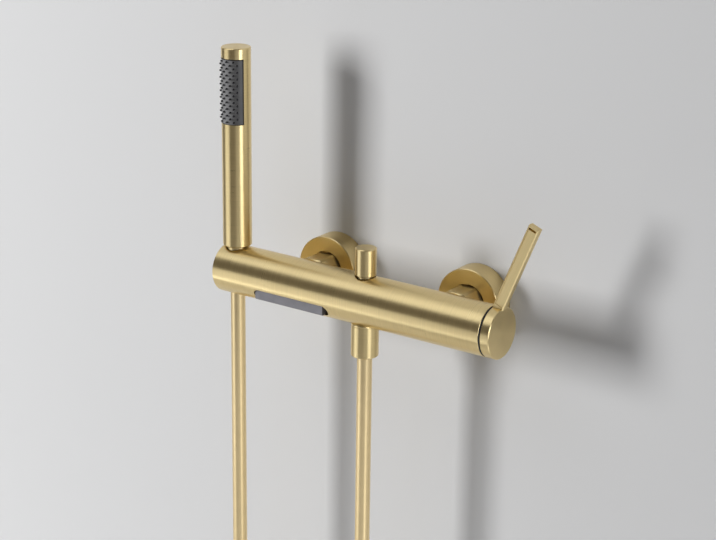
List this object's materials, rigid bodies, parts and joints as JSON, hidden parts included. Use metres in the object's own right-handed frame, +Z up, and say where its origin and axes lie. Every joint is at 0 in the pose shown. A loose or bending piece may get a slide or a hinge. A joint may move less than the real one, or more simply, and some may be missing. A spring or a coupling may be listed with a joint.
{
  "type": "bath shower mixer",
  "caption": "Wall-mounted bath shower mixer: round bar body with lever handle, pull diverter, flat spout outlet, docked stick handset and hose, in brushed gold.",
  "frame": {"origin": "on the finished wall, midway between the two supply pipes", "axes": "+X to the right along the wall, +Y into the wall, +Z up"},
  "size_m": [0.3224, 0.1051, 0.8003],
  "materials": {
    "brushed_gold": "brushed brass with a satin gold coat",
    "gold_hose": "smooth satin gold hose cover",
    "bare_brass": "machined brass",
    "silicone": "matt grey silicone",
    "outlet_plastic": "matt grey moulded plastic",
    "rubber": "black sealing rubber",
    "white_plastic": "moulded white plastic",
    "ceramic": "lapped ceramic",
    "steel": "bright steel"
  },
  "bodies": {
    "root": {"body_shell": "brushed_gold", "hot_rosette": "brushed_gold", "cold_rosette": "brushed_gold", "hot_union_nut": "brushed_gold", "cold_union_nut": "brushed_gold", "hose_nut": "brushed_gold", "hose": "gold_hose", "hot_union": "bare_brass", "cold_union": "bare_brass", "hot_tail": "bare_brass", "cold_tail": "bare_brass", "cartridge_nut": "bare_brass", "diverter_bonnet": "bare_brass", "outlet_nipple": "bare_brass", "hose_tail": "bare_brass", "spout_nozzle": "outlet_plastic", "dock_liner": "rubber", "spout_gasket": "rubber", "hot_washer": "rubber", "cold_washer": "rubber", "cartridge_seals": "rubber", "diverter_seal": "rubber", "hose_washer": "rubber", "hot_check_body": "white_plastic", "cold_check_body": "white_plastic", "cartridge_housing": "white_plastic", "fixed_disc": "ceramic", "hot_check_spring": "steel", "cold_check_spring": "steel", "diverter_spring": "steel"},
    "handle": {"handle_cap": "brushed_gold", "lever": "brushed_gold", "handle_grub_screw": "steel", "cartridge_stem": "bare_brass", "moving_disc": "ceramic"},
    "diverter": {"diverter_knob": "brushed_gold", "diverter_rod": "bare_brass", "diverter_valve": "rubber"},
    "hot_check": {"hot_check_poppet": "white_plastic"},
    "cold_check": {"cold_check_poppet": "white_plastic"},
    "hose_end": {"hose_stem": "bare_brass", "hose_stem_seal": "rubber"},
    "handset": {"handset_spigot": "brushed_gold", "handset_tube": "brushed_gold", "handset_end_cap": "brushed_gold", "spray_face": "silicone", "spray_chamber": "white_plastic"}
  },
  "joints": [
    {"name": "handle_turn", "type": "hinge", "parent": "root", "child": "handle", "pos_m": [0.1337, -0.0668, -0.0075], "axis": [1, 0, 0], "range_deg": [0, 100]},
    {"name": "diverter_pull", "type": "slide", "parent": "root", "child": "diverter", "axis": [0, 0, 1], "range_m": [0, 0.008], "stiffness_N_per_m": 300, "springref_m": -0.003, "deforming": ["diverter_spring"]},
    {"name": "hot_check_open", "type": "slide", "parent": "root", "child": "hot_check", "axis": [0, -1, 0], "range_m": [0, 0.003], "stiffness_N_per_m": 60, "springref_m": -0.002, "deforming": ["hot_check_spring"]},
    {"name": "cold_check_open", "type": "slide", "parent": "root", "child": "cold_check", "axis": [0, -1, 0], "range_m": [0, 0.003], "stiffness_N_per_m": 60, "springref_m": -0.002, "deforming": ["cold_check_spring"]},
    {"name": "handset_lift", "type": "slide", "parent": "root", "child": "hose_end", "axis": [0, 0, 1], "range_m": [0, 0.06]},
    {"name": "handset_spin", "type": "hinge", "parent": "hose_end", "child": "handset", "pos_m": [-0.14, -0.0668, -0.0075], "axis": [0, 0, 1], "continuous": true}
  ]
}
